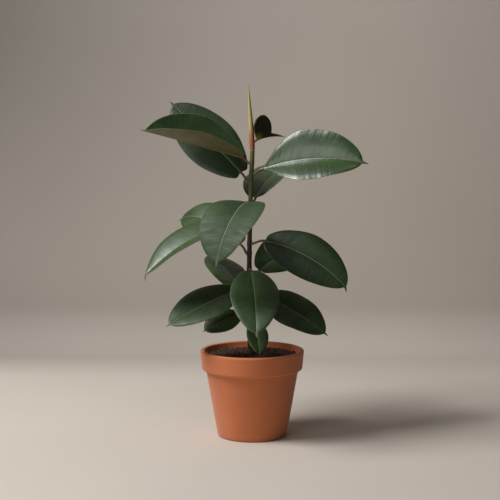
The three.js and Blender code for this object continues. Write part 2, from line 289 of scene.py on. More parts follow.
def leaf_material(name, leaf):
    """One grown leaf's upper side, underside and stalk, as polished and waxy as it is, its deep partly
    painted shade.
    """
    s = Shader(name)
    rib = s.attribute("rib")
    run = s.attribute("run")
    vein = s.attribute("vein")
    seed = s.attribute("seed")
    top = s.span(s.attribute("side"), 0.35, 0.65)
    streak = s.noise(s.vector(vein, s.math("MULTIPLY", rib, 0.025), seed), 0.9, 4, 0.6)
    cloud = s.noise(s.vector(s.math("MULTIPLY", run, 0.02), s.math("MULTIPLY", rib, 0.03), seed), 1.2, 3)
    vein_mask = s.span(s.math("PINGPONG", vein, 0.5), 0.0, 0.09, 1, 0)
    midrib = s.span(s.attribute("midrib"), 0.75, 1.25, 1, 0)
    edge = s.span(s.attribute("edge"), 0.35, 0.8, 1, 0)

    upper = s.mix(s.span(cloud, 0.35, 0.65), LEAF_DEEP, LEAF_BRIGHT)
    upper = s.mix(s.span(streak, 0.35, 0.75, 0, 0.6), upper, LEAF_STREAK)
    # Painted shade in part: deep darkens the whole upper side, for leaves lying in other leaves' shadow as
    # well as for leaves whose own green is darker.
    upper = s.mix(leaf["deep"], upper, LEAF_DARKER_AND_SHADED)
    upper = s.mix(s.math("MULTIPLY", vein_mask, 0.22), upper, LEAF_VEIN)
    upper = s.mix(s.math("MULTIPLY", midrib, 0.85), upper, LEAF_RIB)

    lower = s.mix(s.span(cloud, 0.35, 0.65), UNDER_OLIVE, UNDER_BROWN)
    lower = s.mix(s.math("MULTIPLY", vein_mask, 0.3), lower, UNDER_VEIN)
    lower = s.mix(midrib, lower, UNDER_RIB)

    colour = s.mix(top, lower, upper)
    # The margin: the leaf's own pale rim, with a painted highlight along its edge as well.
    colour = s.mix(s.math("MULTIPLY", edge, 0.6), colour, LEAF_MARGIN_PALE_AND_HIGHLIGHT)
    # Painted shade: the drip tips of the leaves on the shaded right side are darkened.
    colour = s.mix(s.attribute("tip_shade"), colour, TIP_PAINTED_SHADE)
    blotch = s.noise(s.place(), 120, 3, 0.6)
    stalk = s.mix(s.span(blotch, 0.4, 0.62), STALK_RED, STALK_GREEN)
    colour = s.mix(s.attribute("stalk"), colour, stalk)

    skin = s.noise(s.place(), 2600, 2, 0.5)
    grain = s.bump(skin, 0.00006, 0.5)
    grain = s.bump(streak, 0.0003, 0.4, grain)
    grain = s.bump(vein_mask, 0.00012, 0.6, grain)
    shine = SHINE_EFFECT * leaf["shine"]
    polish = s.span(streak, 0.3, 0.7, 0.5 - shine, 0.62 - shine)
    rough = s.span(top, 0.4, 0.6, 0.62, polish)
    wax = leaf["wax"]
    return s.finish(base_color=colour, roughness=rough, normal=grain, coat_weight=wax, coat_roughness=0.26)


YOUNG_OLIVE = srgb(30, 25, 12)
YOUNG_RED = srgb(36, 21, 13)
YOUNG_UNDER = srgb(36, 32, 14)
YOUNG_UNDER_DARK = srgb(30, 22, 11)
YOUNG_FOOT_GREEN_AND_LIT = srgb(120, 134, 48)
YOUNG_RIM = srgb(96, 96, 30)
YOUNG_RIB = srgb(128, 122, 52)
YOUNG_STALK_RED = srgb(150, 88, 52)
YOUNG_STALK_PALE = srgb(168, 140, 84)


def young_leaf_material():
    """A dark red-brown blade with an olive rim, green where it meets its reddish stalk, that green partly
    painted light.
    """
    s = Shader("young_leaf")
    rib = s.attribute("rib")
    cloud = s.noise(s.place(), 90, 3, 0.6)
    inner = s.mix(s.span(cloud, 0.35, 0.65), YOUNG_OLIVE, YOUNG_RED)
    outer = s.mix(s.span(cloud, 0.35, 0.65), YOUNG_UNDER, YOUNG_UNDER_DARK)
    colour = s.mix(s.span(s.attribute("side"), 0.35, 0.65), outer, inner)
    # The bright green at the blade's foot is partly its own colour and partly painted light, where the thin
    # blade glows with light through it.
    foot = s.math("MULTIPLY", s.span(s.attribute("run"), 1, 16, 1, 0), s.span(rib, 2, 15, 1, 0))
    colour = s.mix(foot, colour, YOUNG_FOOT_GREEN_AND_LIT)
    edge = s.span(s.attribute("edge"), 0.8, 2.4, 0.8, 0)
    colour = s.mix(edge, colour, YOUNG_RIM)
    midrib = s.span(s.attribute("midrib"), 0.75, 1.25, 0.7, 0)
    colour = s.mix(midrib, colour, YOUNG_RIB)
    stalk = s.mix(s.span(cloud, 0.4, 0.6), YOUNG_STALK_RED, YOUNG_STALK_PALE)
    colour = s.mix(s.attribute("stalk"), colour, stalk)
    streak = s.noise(s.vector(s.attribute("vein"), s.math("MULTIPLY", rib, 0.05), 0.0), 2, 3)
    grain = s.bump(streak, 0.0004, 0.4)
    return s.finish(base_color=colour, roughness=0.36, normal=grain, coat_weight=0.2, coat_roughness=0.25)


SHEATH_BLUSH = srgb(160, 82, 55)
SHEATH_CREAM = srgb(188, 170, 108)
SHEATH_GREEN = srgb(180, 172, 104)
SHEATH_TIP = srgb(170, 148, 84)
SHEATH_FIBRE = srgb(150, 122, 66)
SHEATH_EDGE_SHADOW_COLOUR = srgb(70, 44, 22)


def sheath_material():
    """Red at its foot, cream and green above, browner at its tip, and with painted shadow along the rolled
    edge.
    """
    s = Shader("sheath")
    place = s.place()
    fibre = s.noise(s.scaled(place, (1, 1, 0.04)), 1500, 3, 0.6)
    blush = s.math("ADD", s.attribute("rise"), s.span(s.noise(place, 160, 3), 0.3, 0.7, -0.03, 0.03))
    colour = s.mix(s.span(blush, 0.05, 0.45), SHEATH_BLUSH, SHEATH_CREAM)
    colour = s.mix(s.span(blush, 0.4, 0.75), colour, SHEATH_GREEN)
    colour = s.mix(s.span(blush, 0.8, 1.0, 0, 0.8), colour, SHEATH_TIP)
    colour = s.mix(s.span(fibre, 0.45, 0.75, 0, 0.45), colour, SHEATH_FIBRE)
    # Painted shadow: a dark strip beside the rolled edge, where the fold shades the sheath.
    colour = s.mix(s.attribute("seam"), colour, SHEATH_EDGE_SHADOW_COLOUR)
    grain = s.bump(fibre, 0.0003, 0.5)
    return s.finish(base_color=colour, roughness=0.5, normal=grain)


STAGE_PALE = srgb(201, 192, 182)
STAGE_PALER = srgb(204, 195, 185)
WALL_SHADE_START = 0.5  # from this Y painted shade darkens the stage, and at WALL_SHADE_END the wall has its full painted shade
WALL_SHADE_END = 0.92


def stage_material():
    """Pale plaster, with painted shade that darkens it up the wall, and more so on the left."""
    s = Shader("stage")
    place = s.place()
    height = s.split(place, 2)
    colour = s.mix(s.span(s.noise(place, 2.5, 3), 0.3, 0.7), STAGE_PALE, STAGE_PALER)
    # Painted shade: the wall is darkened toward its top and more on its left, standing in for the light
    # falling off there.
    left = s.span(height, 0.1, 1.0, 0.49, 0.14)
    right = s.span(height, 0.1, 1.0, 0.87, 0.76)
    across = s.span(s.split(place, 0), -1.1, 0.5)
    painted_wall_shade = s.math("ADD", left, s.math("MULTIPLY", across, s.math("SUBTRACT", right, left)))
    depth = s.split(place, 1)
    painted_shade = s.span(depth, WALL_SHADE_START, WALL_SHADE_END, 1.0, painted_wall_shade)
    colour = s.mix(1.0, colour, s.vector(painted_shade, painted_shade, painted_shade), "MULTIPLY")
    solid = s.finish(base_color=colour, roughness=0.85)
    # The wall is seen from the room side only, so it never hides the plant from a camera behind it.
    clear = s.node("ShaderNodeBsdfTransparent", {})
    behind = s.node("ShaderNodeNewGeometry", {}, "Backfacing")
    shown = s.node("ShaderNodeMixShader", {0: behind, 1: s.surface.outputs[0], 2: clear})
    s.put(s.tree.nodes["Material Output"].inputs["Surface"], shown)
    return solid


# ---- Meshes ----


def add_mesh(name, points, faces, material, **attributes):
    """A smooth mesh object with one float attribute a point for each keyword."""
    mesh = bpy.data.meshes.new(name)
    mesh.from_pydata(np.asarray(points).tolist(), [], [tuple(face) for face in faces])
    mesh.polygons.foreach_set("use_smooth", np.ones(len(mesh.polygons), bool))
    for key, values in attributes.items():
        layer = mesh.attributes.new(key, "FLOAT", "POINT")
        layer.data.foreach_set("value", np.asarray(values, np.float32).ravel())
    mesh.materials.append(material)
    mesh.update()
    return link(bpy.data.objects.new(name, mesh))


def ring_faces(rows, sides):
    """Quads between rings of equal counts, and a fan to a pole before the first ring and after the last.
    The poles are the two points that follow the rings."""
    k = np.arange(sides)
    following = (k + 1) % sides
    faces = []
    for row in range(rows - 1):
        low, high = row * sides, (row + 1) * sides
        faces.extend(np.stack([low + k, low + following, high + following, high + k], -1).tolist())
    first, last, end = rows * sides, rows * sides + 1, (rows - 1) * sides
    faces.extend([first, b, a] for a, b in zip(k.tolist(), following.tolist()))
    faces.extend([last, end + a, end + b] for a, b in zip(k.tolist(), following.tolist()))
    return faces


def closed_rings(rings, first, last):
    """The points of rings, shaped (rows, sides, 3), and of their poles, with the faces that close them."""
    rows, sides, _ = rings.shape
    points = np.vstack([rings.reshape(-1, 3), first, last])
    return points, ring_faces(rows, sides)


def ease(value, low, high):
    t = np.clip((value - low) / (high - low), 0, 1)
    return t * t * (3 - 2 * t)


def waves(count, shortest, longest):
    """Random sine waves: their lengths, phases and weights."""
    lengths = RNG.uniform(shortest, longest, count)
    return lengths, RNG.uniform(0, 2 * math.pi, count), RNG.uniform(0.5, 1, count)


def ripple(value, made):
    lengths, phases, weights = made
    waves_here = np.sin(2 * math.pi * np.asarray(value)[..., None] / lengths + phases) * weights
    return waves_here.sum(-1) / weights.sum()


# ---- Pot ----

_, POT_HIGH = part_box("terracotta_pot")
POT_HEIGHT = POT_HIGH.z
RIM_RADIUS = POT_HIGH.x
BASE_RADIUS = 0.0675
COLLAR_HEIGHT = 0.038
COLLAR_STEP = 0.0083
COLLAR_TAPER = 0.0028
RIM_WALL = 0.0082
BODY_WALL = 0.0075
POT_FLOOR = 0.009
DRAIN_RADIUS = 0.012
LIP_ROUNDING = 0.0034
COLLAR_ROUNDING = 0.0042
COLLAR_FILLET = 0.0022
FOOT_ROUNDING = 0.004
POT_SIDES = 160
POT_UNEVEN = 0.0003
DRAIN_CHAMFER = 0.0006
TURNING_DEPTH = 0.00003  # fine rings round the wall, and how far apart they are
TURNING_PITCH = 0.0047


def arc(radius, height, size, start, end, steps=7):
    """Points round a centre from one angle to another, in degrees."""
    angles = np.radians(np.linspace(start, end, steps))
    return np.stack([radius + size * np.cos(angles), height + size * np.sin(angles)], -1)


def straight(start, end, steps):
    """The points between two ends, without the ends."""
    return np.linspace(start, end, steps + 1)[1:-1]


def pot_profile():
    foot = POT_HEIGHT - COLLAR_HEIGHT
    collar_radius = RIM_RADIUS - COLLAR_TAPER
    body_top = collar_radius - COLLAR_STEP
    lip = POT_HEIGHT - LIP_ROUNDING
    inside = RIM_RADIUS - RIM_WALL
    outer_foot = arc(BASE_RADIUS - FOOT_ROUNDING, FOOT_ROUNDING, FOOT_ROUNDING, -90, -6)
    fillet = arc(body_top + COLLAR_FILLET, foot - COLLAR_FILLET, COLLAR_FILLET, 176, 90)
    collar = arc(collar_radius - COLLAR_ROUNDING, foot + COLLAR_ROUNDING, COLLAR_ROUNDING, -90, 0)
    lip_out = arc(RIM_RADIUS - LIP_ROUNDING, lip, LIP_ROUNDING, 4, 90)
    lip_in = arc(inside + LIP_ROUNDING, lip, LIP_ROUNDING, 90, 180)
    low_corner = (BASE_RADIUS - BODY_WALL, POT_FLOOR)
    high_corner = (body_top - BODY_WALL, foot)
    parts = [
        [(DRAIN_RADIUS, DRAIN_CHAMFER), (DRAIN_RADIUS + DRAIN_CHAMFER, 0)],
        outer_foot,
        straight(outer_foot[-1], fillet[0], 30),
        fillet,
        collar,
        straight(collar[-1], lip_out[0], 10),
        lip_out,
        lip_in,
        straight(lip_in[-1], high_corner, 8),
        [high_corner],
        straight(high_corner, low_corner, 10),
        [low_corner],
        [(DRAIN_RADIUS + DRAIN_CHAMFER, POT_FLOOR), (DRAIN_RADIUS, POT_FLOOR - DRAIN_CHAMFER)],
    ]
    return np.vstack(parts)


def build_pot():
    """The profile turned about Z, a little out of round as a pot from a mould is, and closed on itself."""
    profile = pot_profile()
    angles = np.linspace(0, 2 * math.pi, POT_SIDES, endpoint=False)
    radius, height = profile[:, 0, None], profile[:, 1, None]
    out_of_round = POT_UNEVEN * np.sin(2 * angles + 0.7) + 0.5 * POT_UNEVEN * np.sin(3 * angles + 2.1)
    turning = TURNING_DEPTH * np.sin(height / TURNING_PITCH) * ease(height, 0.012, 0.03)
    radius = radius - POT_UNEVEN + out_of_round[None, :] * ease(height, 0, 0.05) + turning
    level = np.broadcast_to(height, radius.shape)
    points = np.stack([radius * np.cos(angles), radius * np.sin(angles), level], -1)
    rows, sides = len(profile), POT_SIDES
    corner = np.arange(rows * sides).reshape(rows, sides)
    beside = np.roll(corner, -1, axis=1)
    above = np.roll(corner, -1, axis=0)
    opposite = np.roll(beside, -1, axis=0)
    faces = np.stack([corner, beside, opposite, above], -1).reshape(-1, 4).tolist()
    pot = add_mesh("pot", points.reshape(-1, 3), faces, terracotta_material())
    place_piece(pot, "terracotta_pot")


def place_piece(piece, node):
    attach(piece, "root")
    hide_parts(node)


# ---- Stem ----

STEM_LOW, STEM_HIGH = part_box("stem")
SOIL_LOW, SOIL_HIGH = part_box("potting_soil")
SOIL_CROWN = 0.0015
SOIL_TOP = SOIL_HIGH.z - SOIL_CROWN
STEM_LENGTH = STEM_HIGH.z - SOIL_TOP
STEM_RADIUS = 0.0046
STEM_FOOT_FLARE = 0.001
STEM_OFFSET = -0.0025
STEM_BOW = 0.0032
BOW_LEAN = 0.8
STEM_RETURN = 0.003
STEM_SIDES = 48
STEM_ROWS = 260
NODE_SWELL = 0.0005
SCAR_RIDGE = 0.00035
SWELL_REACH = 5  # millimetres up and down from a leaf's foot
SCAR_ABOVE = 4  # millimetres from a leaf's foot up to its scar
SCAR_WIDTH = 0.9
BARK_INSET = 0.0002
BARK_ROUGHNESS = 0.00012


def stem_centre(share):
    """The stem's middle at a share of its length above the soil."""
    share = np.asarray(share, float)
    above = np.maximum(share, 0)
    x = STEM_OFFSET - STEM_BOW * np.sin(math.pi * above**BOW_LEAN) + STEM_RETURN * above**3
    return np.stack([x, np.zeros_like(x), SOIL_TOP + share * STEM_LENGTH], -1)


def stem_radius(share):
    return STEM_RADIUS + STEM_FOOT_FLARE * (1 - np.maximum(share, 0)) ** 3


def build_stem(node_heights):
    """The bark, a little swollen at each leaf's foot, with the ring scar that each sheath left above it."""
    heights = np.linspace(STEM_LOW.z, STEM_HIGH.z, STEM_ROWS)
    shares = (heights - SOIL_TOP) / STEM_LENGTH
    angles = np.linspace(0, 2 * math.pi, STEM_SIDES, endpoint=False)
    gaps = (heights[:, None] - np.asarray(node_heights)[None, :]) / MM
    swell = NODE_SWELL * np.exp(-((gaps / SWELL_REACH) ** 2)).sum(1)
    scar = np.exp(-(((gaps - SCAR_ABOVE) / SCAR_WIDTH) ** 2)).max(1)
    radius = stem_radius(shares) + swell + SCAR_RIDGE * scar - BARK_INSET
    lengthwise = waves(6, 0.6, 2.2)
    rough = BARK_ROUGHNESS * ripple(angles[None, :] + 0.15 * np.sin(heights[:, None] / 0.03), lengthwise)
    radius = radius[:, None] + rough * ease(-shares, -0.9, 0)[:, None]
    centre = stem_centre(shares)
    rings = np.stack([radius * np.cos(angles), radius * np.sin(angles), 0 * radius], -1) + centre[:, None, :]
    points, faces = closed_rings(rings, centre[0], centre[-1] + (0, 0, BARK_INSET))
    marks = np.append(np.repeat(scar, STEM_SIDES), (0, 0))
    stem = add_mesh("stem_bark", points, faces, bark_material(), scar=marks)
    place_piece(stem, "stem")


# ---- Soil ----

WALL_GAP = 0.0003
CLOD_COUNT = 900
CLOD_SMALLEST = 0.0007
CLOD_LARGEST = 0.0024
SOIL_SIDES = 144
SOIL_RINGS = 46
LUMP_HEIGHT = 0.0008
GRAIN_HEIGHT = 0.00035
EDGE_SINK = 0.001


def wall_radius(height):
    """Radius of the pot's inner wall at a height."""
    foot = POT_HEIGHT - COLLAR_HEIGHT
    low = BASE_RADIUS - BODY_WALL
    middle = RIM_RADIUS - COLLAR_TAPER - COLLAR_STEP - BODY_WALL
    high = RIM_RADIUS - RIM_WALL
    if height < foot:
        return low + (middle - low) * (height - POT_FLOOR) / (foot - POT_FLOOR)
    return middle + (high - middle) * (height - foot) / (POT_HEIGHT - LIP_ROUNDING - foot)


def soil_height(x, y):
    """Height of the soil's surface: slightly crowned, lumpy, and sunk a little at the wall."""
    edge = wall_radius(SOIL_TOP)
    out = np.hypot(x, y) / edge
    lumps = np.sin(x * 310 + 1.3) * np.sin(y * 270 + 0.4) + 0.7 * np.sin(x * 610 + y * 380 + 2)
    fine = np.sin(x * 1450 + 0.3) * np.sin(y * 1570 + 1.9) + np.sin(x * 2100 - y * 1900)
    surface = SOIL_CROWN * (1 - out**2) + LUMP_HEIGHT * lumps + GRAIN_HEIGHT * fine
    return SOIL_TOP + surface - EDGE_SINK * ease(out, 0.93, 1)


def soil_body():
    """The soil as one closed body: up the stem's hole, over the top, down the wall and across the floor."""
    angles = np.linspace(0, 2 * math.pi, SOIL_SIDES, endpoint=False)
    circle = np.stack([np.cos(angles), np.sin(angles)], -1)
    hole = stem_radius(0) + WALL_GAP + 0.0006
    axis = stem_centre(0)[:2]
    edge = wall_radius(SOIL_TOP) - WALL_GAP
    rings = [np.column_stack([circle * hole + axis, np.full(SOIL_SIDES, STEM_LOW.z)])]
    for share in np.linspace(0, 1, SOIL_RINGS) ** 0.85:
        across = circle * (hole + (edge - hole) * share) + axis * (1 - share)
        rings.append(np.column_stack([across, soil_height(across[:, 0], across[:, 1])]))
    for height in np.linspace(SOIL_TOP - 0.006, SOIL_LOW.z, 8):
        radius = wall_radius(height) - WALL_GAP
        rings.append(np.column_stack([circle * radius, np.full(SOIL_SIDES, height)]))
    floor = np.array([0, 0, SOIL_LOW.z])
    bottom = np.array([*axis, STEM_LOW.z - WALL_GAP])
    return closed_rings(np.stack(rings), bottom, floor)


def unit_clod():
    """The points and faces of a rounded lump, from one subdivided icosahedron."""
    made = bmesh.new()
    bmesh.ops.create_icosphere(made, subdivisions=2, radius=1)
    points = np.array([v.co[:] for v in made.verts])
    faces = np.array([[v.index for v in f.verts] for f in made.faces])
    made.free()
    return points, faces


def scatter_clods():
    """Small crumbs half sunk in the surface, each squashed and dented its own way."""
    ball, ball_faces = unit_clod()
    points, faces, tones = [], [], []
    edge = wall_radius(SOIL_TOP) - 0.0025
    stem_x = stem_centre(0)[0]
    while len(points) < CLOD_COUNT:
        angle, out = RNG.uniform(0, 2 * math.pi), edge * math.sqrt(RNG.uniform())
        size = CLOD_SMALLEST + (CLOD_LARGEST - CLOD_SMALLEST) * RNG.uniform() ** 2.5
        shape = size * RNG.uniform(0.7, 1.2, 3) * (1, 1, 0.8)
        dents = 1 + 0.22 * np.sin(ball @ RNG.normal(0, 2.6, (3, 3)) + RNG.uniform(0, 6, 3)).mean(1)
        x, y = out * math.cos(angle), out * math.sin(angle)
        if math.hypot(x - stem_x, y) < stem_radius(0) + size + 0.001:
            continue
        centre = (x, y, float(soil_height(x, y)) + 0.25 * size)
        faces.append(ball_faces + len(points) * len(ball))
        points.append(ball * dents[:, None] * shape + centre)
        tones.append(np.full(len(ball), RNG.uniform() ** 1.6))
    return np.vstack(points), np.vstack(faces), np.concatenate(tones)


def build_soil():
    body, body_faces = soil_body()
    clods, clod_faces, tones = scatter_clods()
    points = np.vstack([body, clods])
    faces = [*body_faces, *(clod_faces + len(body)).tolist()]
    body_tone = 0.25 + 0.25 * np.sin(body[:, 0] * 400) * np.sin(body[:, 1] * 430)
    tone = np.concatenate([body_tone, tones])
    soil = add_mesh("soil_crumbs", points, faces, soil_material(), tone=tone)
    place_piece(soil, "potting_soil")


# ---- Bud sheath ----

SHEATH_LOW, SHEATH_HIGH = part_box("bud_sheath")
SHEATH_LENGTH = SHEATH_HIGH.z - SHEATH_LOW.z
SHEATH_RADIUS = 0.0049
SHEATH_LEAN = 0.008
SHEATH_POINT = 2.6
SHEATH_BELLY = 0.16
SHEATH_SIDES = 56
SHEATH_ROWS = 150
SHEATH_STEP = 0.00055  # the rolled edge stands this far off the layer under it
SHEATH_EDGE = -1.2  # the rolled edge's place round the foot, in radians from +X
SHEATH_TWIST = 0.3  # and how far it turns on its way up
EDGE_SHADOW_WIDTH = 0.16  # the painted shadow beside the rolled edge covers this share of the way round
EDGE_SHADOW_STRENGTH = 0.75


def build_sheath():
    """A spike rolled from one thin scale: its free edge runs up the front, turning a little."""
    share = np.linspace(0, 0.995, SHEATH_ROWS)
    angles = np.linspace(0, 2 * math.pi, SHEATH_SIDES, endpoint=False)
    belly = 1 - SHEATH_BELLY / 2 + SHEATH_BELLY * np.sin(math.pi * np.minimum(share * 2, 1))
    radius = SHEATH_RADIUS * belly * (1 - share**SHEATH_POINT)
    edge = SHEATH_EDGE + SHEATH_TWIST * share
    past = np.mod(angles[None, :] - edge[:, None], 2 * math.pi) / (2 * math.pi)
    step = SHEATH_STEP * ease(past, 0.0, 0.03) * (1 - 0.8 * past)
    fade = np.minimum(radius / SHEATH_RADIUS, 1)[:, None]
    wide = radius[:, None] - SHEATH_STEP * 0.5 * fade + step * fade
    foot = stem_centre(1) + (0, 0, SHEATH_LOW.z - STEM_HIGH.z)
    middle = foot + np.stack([-SHEATH_LEAN * share, 0 * share, SHEATH_LENGTH * share], -1)
    rings = np.stack([wide * np.cos(angles), wide * np.sin(angles), 0 * wide], -1) + middle[:, None, :]
    tip = foot + np.array([-SHEATH_LEAN, 0, SHEATH_LENGTH])
    points, faces = closed_rings(rings, foot, tip)
    # The painted shadow beside the rolled edge, full next to it and fading out further round.
    seam = np.append((1 - ease(past, EDGE_SHADOW_WIDTH / 2, EDGE_SHADOW_WIDTH)).ravel() * EDGE_SHADOW_STRENGTH, (0, 0))
    rise = np.append(np.repeat(share, SHEATH_SIDES), (0, 1))
    sheath = add_mesh("sheath_roll", points, faces, sheath_material(), seam=seam, rise=rise)
    place_piece(sheath, "bud_sheath")


# ---- Leaves ----

PETIOLE_RADIUS = 2.3
PETIOLE_FOOT_FLARE = 0.7
STALK_BEND = 0.3
LOWEST_LEAF = 72
HEART_REACH = 0.2
OUTLINE_LEAN = 0.93
BASE_FULLNESS = 0.6
TIP_FULLNESS = 0.55
WIDEST = 0.453
DRIP_TIP_START = 0.94
DRIP_TIP_LENGTH = 0.11
DRIP_TIP_WIDTH = 0.1
YOUNG_LOBE = 0.5
YOUNG_FULLNESS = 0.42
YOUNG_LEAN = 0.7
YOUNG_TAIL_START = 0.3
YOUNG_TAIL_WIDTH = 15

# Millimetres and degrees, as in the CAD model. at: place on the stem, 0 at the lowest leaf's height and 1
# at its top. heading: the way the leaf leaves the stem, 0 along +X and 90 along +Y. rise: the stalk's first
# climb, and turn: its turn to the left. pitch: the blade's climb at its base. droop: how far it turns down
# by its tip, and bend: how late. sweep: turn to the left. roll: tilt about the midrib, left side up, and
# twist: more of it by the tip. fold: rise of both halves, and cup: more by the margins. heart: how far the
# lobes reach back. blunt: the power that fills out its base, less for a blunter one, and taper: the same
# for its tip half. forward: how far the margins lean toward the tip. arch: how far each half bulges between
# midrib and margin, as a share of its width. hook: how far the drip tip turns down, and tip_shade: how dark
# the painted shade on the drip tip is, given to leaves on the shaded right side. shine: how polished the
# upper side is, wax: the strength of its gloss coat, and deep: how much darker its green is made, its own
# darker green on some leaves and painted shade on leaves that lie in other leaves' shadow.
PLAIN = dict(turn=0, bend=1, sweep=0, twist=0, cup=0, heart=3, blunt=BASE_FULLNESS, arch=0.03, tip_shade=0,
             taper=TIP_FULLNESS, hook=0, forward=0, shine=0.4, wax=0.12, deep=0)
LEAVES = [
    dict(at=0, heading=-70, petiole=18, length=72, width=43,
         rise=0, pitch=-40, droop=28, sweep=-10, roll=0, fold=8),
    dict(at=0.013, heading=195, petiole=14, length=80, width=64,
         rise=30, pitch=-14, droop=16, roll=-32, fold=6),
    dict(at=0.09, heading=124, petiole=27, length=150, width=79,
         rise=45, pitch=41, droop=30, sweep=-6, roll=0, fold=4),
    dict(at=0.136, heading=-22, petiole=20, length=154, width=90,
         rise=25, pitch=-18, droop=20, roll=30, fold=3, tip_shade=0.9),
    dict(at=0.164, heading=207, petiole=16, length=168, width=86,
         rise=40, pitch=-15, droop=14, roll=-30, fold=4, deep=0.3),
    dict(at=0.23, heading=42, petiole=26, length=188, width=98,
         rise=50, pitch=30, droop=40, roll=34, fold=8),
    dict(at=0.292, heading=-83, petiole=24, length=172, width=91,
         rise=20, pitch=-25, droop=28, sweep=-6, roll=0, fold=6),
    dict(at=0.385, heading=135, petiole=26, length=192, width=98,
         rise=60, pitch=26, droop=60, bend=3, roll=-32, twist=-14, fold=4, shine=0.5),
    dict(at=0.447, heading=-18, petiole=26, length=193, width=97,
         rise=30, pitch=-9, droop=39, roll=50, fold=3, tip_shade=1, hook=35, deep=0.4),
    dict(at=0.544, heading=196, petiole=34, length=206, width=90,
         rise=35, pitch=-13, droop=34, sweep=6, roll=-18, twist=8, fold=16, taper=0.72, hook=40, shine=0.7),
    dict(at=0.665, heading=-103, petiole=24, length=195, width=114,
         rise=45, pitch=3, droop=82, sweep=-26, roll=-2, fold=8, blunt=0.55, taper=0.45,
         shine=-0.3, wax=0, deep=0.2),
    dict(at=0.668, heading=66, petiole=26, length=206, width=116,
         rise=45, pitch=38, droop=34, sweep=-34, roll=-6, fold=12, shine=0.6),
    dict(at=0.814, heading=159, petiole=23, length=206, width=104,
         rise=60, pitch=44, droop=3, roll=-60, fold=-4, heart=8, shine=0.7, deep=0.6),
    dict(at=0.86, heading=-22, petiole=21, length=209, width=115,
         rise=40, pitch=19, droop=32, sweep=6, roll=60, fold=18, cup=6, heart=0, blunt=1.05, arch=0.06,
         tip_shade=0.9, shine=0.95, wax=0.82),
    dict(at=0.925, heading=185, petiole=22, length=197, width=120,
         rise=50, pitch=16, droop=2, roll=-17, twist=-18, fold=42, cup=20, heart=16, blunt=0.75),
]
YOUNG_LEAF = dict(at=0.982, heading=100, petiole=33, length=58, width=90, rise=86, turn=-80,
                  pitch=22, droop=33, sweep=-20, roll=-8, fold=80, cup=8, heart=6, forward=0.3)

# The finer surface of a blade, in millimetres.
THICKNESS = 0.95
YOUNG_THICKNESS = 0.7
KEEL_DEPTH = 1.5
KEEL_HALF_WIDTH = 1.5
MIDRIB_HALF_WIDTH = 0.85
CREASE = 0.03  # share of the half width over which the fold is rounded
VEIN_SPACING = 6.2
MARGIN_TURN = 1.1  # how far the margins turn down
VEIN_WIDTH = 1.1
RIB_RIDGE = 0.25
RIB_RIDGE_WIDTH = 0.7
RIB_GROOVE = 0.4  # the midrib's ridge on the top lies in this shallow groove
RIB_GROOVE_WIDTH = 3.2
RIB_NARROWING = 0.65  # share of the midrib's width that is gone by the tip
FINE_WAVE = 0.14
FINE_WAVES = (3, 11, 34)  # how many, and the shortest and the longest
MARGIN_WAVE = 1.1
MARGIN_WAVES = (3, 38, 90)
HOOK_START, HOOK_END = 0.92, 0.97  # shares of the blade's length over which its tip turns down
# Shares of the blade's length over which the painted shade of the drip tip comes in.
TIP_SHADE_START, TIP_SHADE_END = 0.935, 0.965
STALK_COLLAR = 0.9  # the stalk widens by this into the bark, over about COLLAR_LENGTH
COLLAR_LENGTH = 1.2
WALK_STEPS = 800
JOIN_END = 0.03  # share of the blade in which the round stalk flattens into it
VEIN_SLANT = 0.33
VEIN_DEPTH = 0.06
STALK_IN_BARK = 0.5
STALK_ROWS = 16
HALF_ACROSS = np.array([0, 0.008, 0.017, 0.03, 0.05, 0.08, 0.125, 0.18, 0.25, 0.33, 0.415, 0.5,
                        0.585, 0.67, 0.75, 0.825, 0.885, 0.93, 0.963, 0.985, 1])


def grown_outline(share, leaf):
    """Half the width of a grown blade, as a share of its widest half, at shares of its length."""
    swell = np.sin(math.pi * np.minimum(share / DRIP_TIP_START, 1) ** OUTLINE_LEAN)
    body = np.maximum(swell, 0) ** np.where(share < WIDEST, leaf["blunt"], leaf["taper"])
    tip = np.where(share > WIDEST, DRIP_TIP_WIDTH * np.minimum((1 - share) / DRIP_TIP_LENGTH, 1), 0)
    return (body**3 + tip**3) ** (1 / 3)


def young_outline(share, leaf):
    """The same for the young blade, which is one broad lobe and then a narrow tail."""
    lobe = np.sin(math.pi * np.minimum(share / YOUNG_LOBE, 1) ** YOUNG_LEAN)
    tail = YOUNG_TAIL_WIDTH / leaf["width"] * np.minimum(2 * (1 - share), 1)
    body = np.maximum(lobe, 0) ** np.where(share < YOUNG_LOBE / 3, BASE_FULLNESS, YOUNG_FULLNESS)
    return (body**5 + np.where(share > YOUNG_TAIL_START, tail, 0) ** 5) ** 0.2


def directions(heading, climb, roll):
    """Unit vectors along a leaf, to its right and above it, for angles in degrees."""
    heading, climb, roll = np.broadcast_arrays(*(np.radians(a) for a in (heading, climb, roll)))
    level = np.cos(climb)
    along = np.stack([level * np.cos(heading), level * np.sin(heading), np.sin(climb)], -1)
    right = np.stack([np.sin(heading), -np.cos(heading), 0 * heading], -1)
    up = np.cross(right, along)
    cos, sin = np.cos(roll)[..., None], np.sin(roll)[..., None]
    return along, right * cos + np.cross(along, right) * sin, up * cos + np.cross(along, up) * sin


def petiole_angles(leaf, share):
    """Heading, climb and roll along the stalk, which starts level, square to the stem, and soon turns up."""
    climb = leaf["rise"] * np.minimum(share / STALK_BEND, 1)
    climb = climb + (leaf["pitch"] - climb) * share**2
    return leaf["heading"] + leaf["turn"] * share, climb, leaf["roll"] * share


def blade_angles(leaf, share):
    """Heading, climb and roll along the blade."""
    heading = leaf["heading"] + leaf["turn"] + leaf["sweep"] * share
    hook = leaf["hook"] * ease(share, HOOK_START, HOOK_END)
    climb = leaf["pitch"] - leaf["droop"] * share ** leaf["bend"] - hook
    return heading, climb, leaf["roll"] + leaf["twist"] * share


